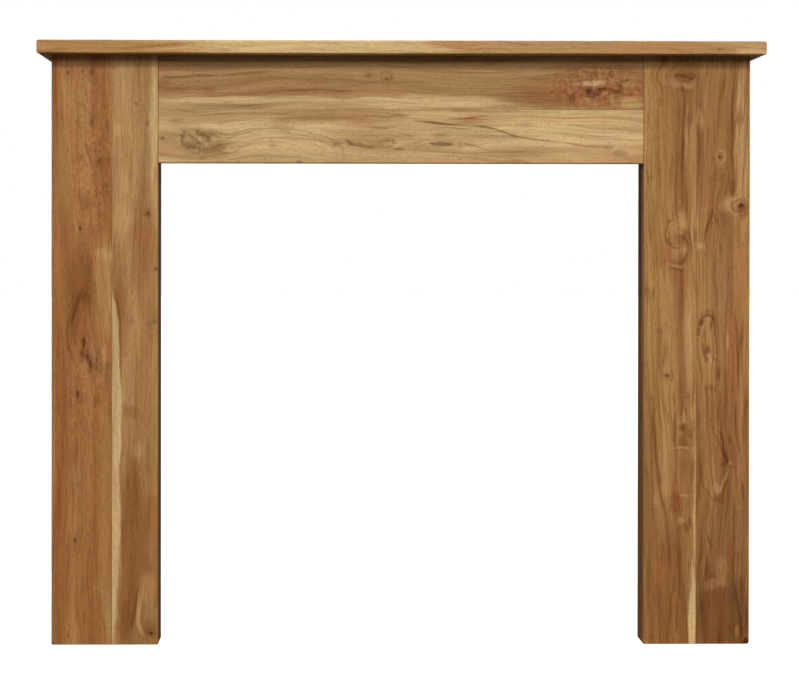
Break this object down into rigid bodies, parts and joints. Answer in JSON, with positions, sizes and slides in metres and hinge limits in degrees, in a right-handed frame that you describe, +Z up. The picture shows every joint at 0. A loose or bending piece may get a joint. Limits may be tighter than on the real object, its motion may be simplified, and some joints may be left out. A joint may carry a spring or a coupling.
{
  "type": "fireplace mantelpiece",
  "caption": "Plain solid wood fire surround: a flat overhanging shelf on a frieze and box legs, framing a square hearth opening against a wall.",
  "frame": {"origin": "on the floor, midway across the width and midway between the shelf's front edge and the wall", "axes": "+X to the right as seen from the front, +Y from the front towards the wall, +Z up"},
  "size_m": [1.372, 0.178, 1.143],
  "materials": {
    "shelf_wood": "satin oiled",
    "frieze_upper_wood": "satin oiled",
    "frieze_lower_wood": "satin oiled",
    "left_outer_wood": "satin oiled",
    "left_inner_wood": "satin oiled",
    "right_inner_wood": "satin oiled",
    "right_outer_wood": "satin oiled",
    "return_wood": "satin oiled"
  },
  "bodies": {
    "root": {"shelf": "shelf_wood", "frieze_upper_board": "frieze_upper_wood", "frieze_lower_board": "frieze_lower_wood", "left_leg_outer_board": "left_outer_wood", "left_leg_inner_board": "left_inner_wood", "left_leg_outer_return": "return_wood", "left_leg_inner_return": "return_wood", "right_leg_outer_board": "right_outer_wood", "right_leg_inner_board": "right_inner_wood", "right_leg_outer_return": "return_wood", "right_leg_inner_return": "return_wood"}
  },
  "joints": []
}
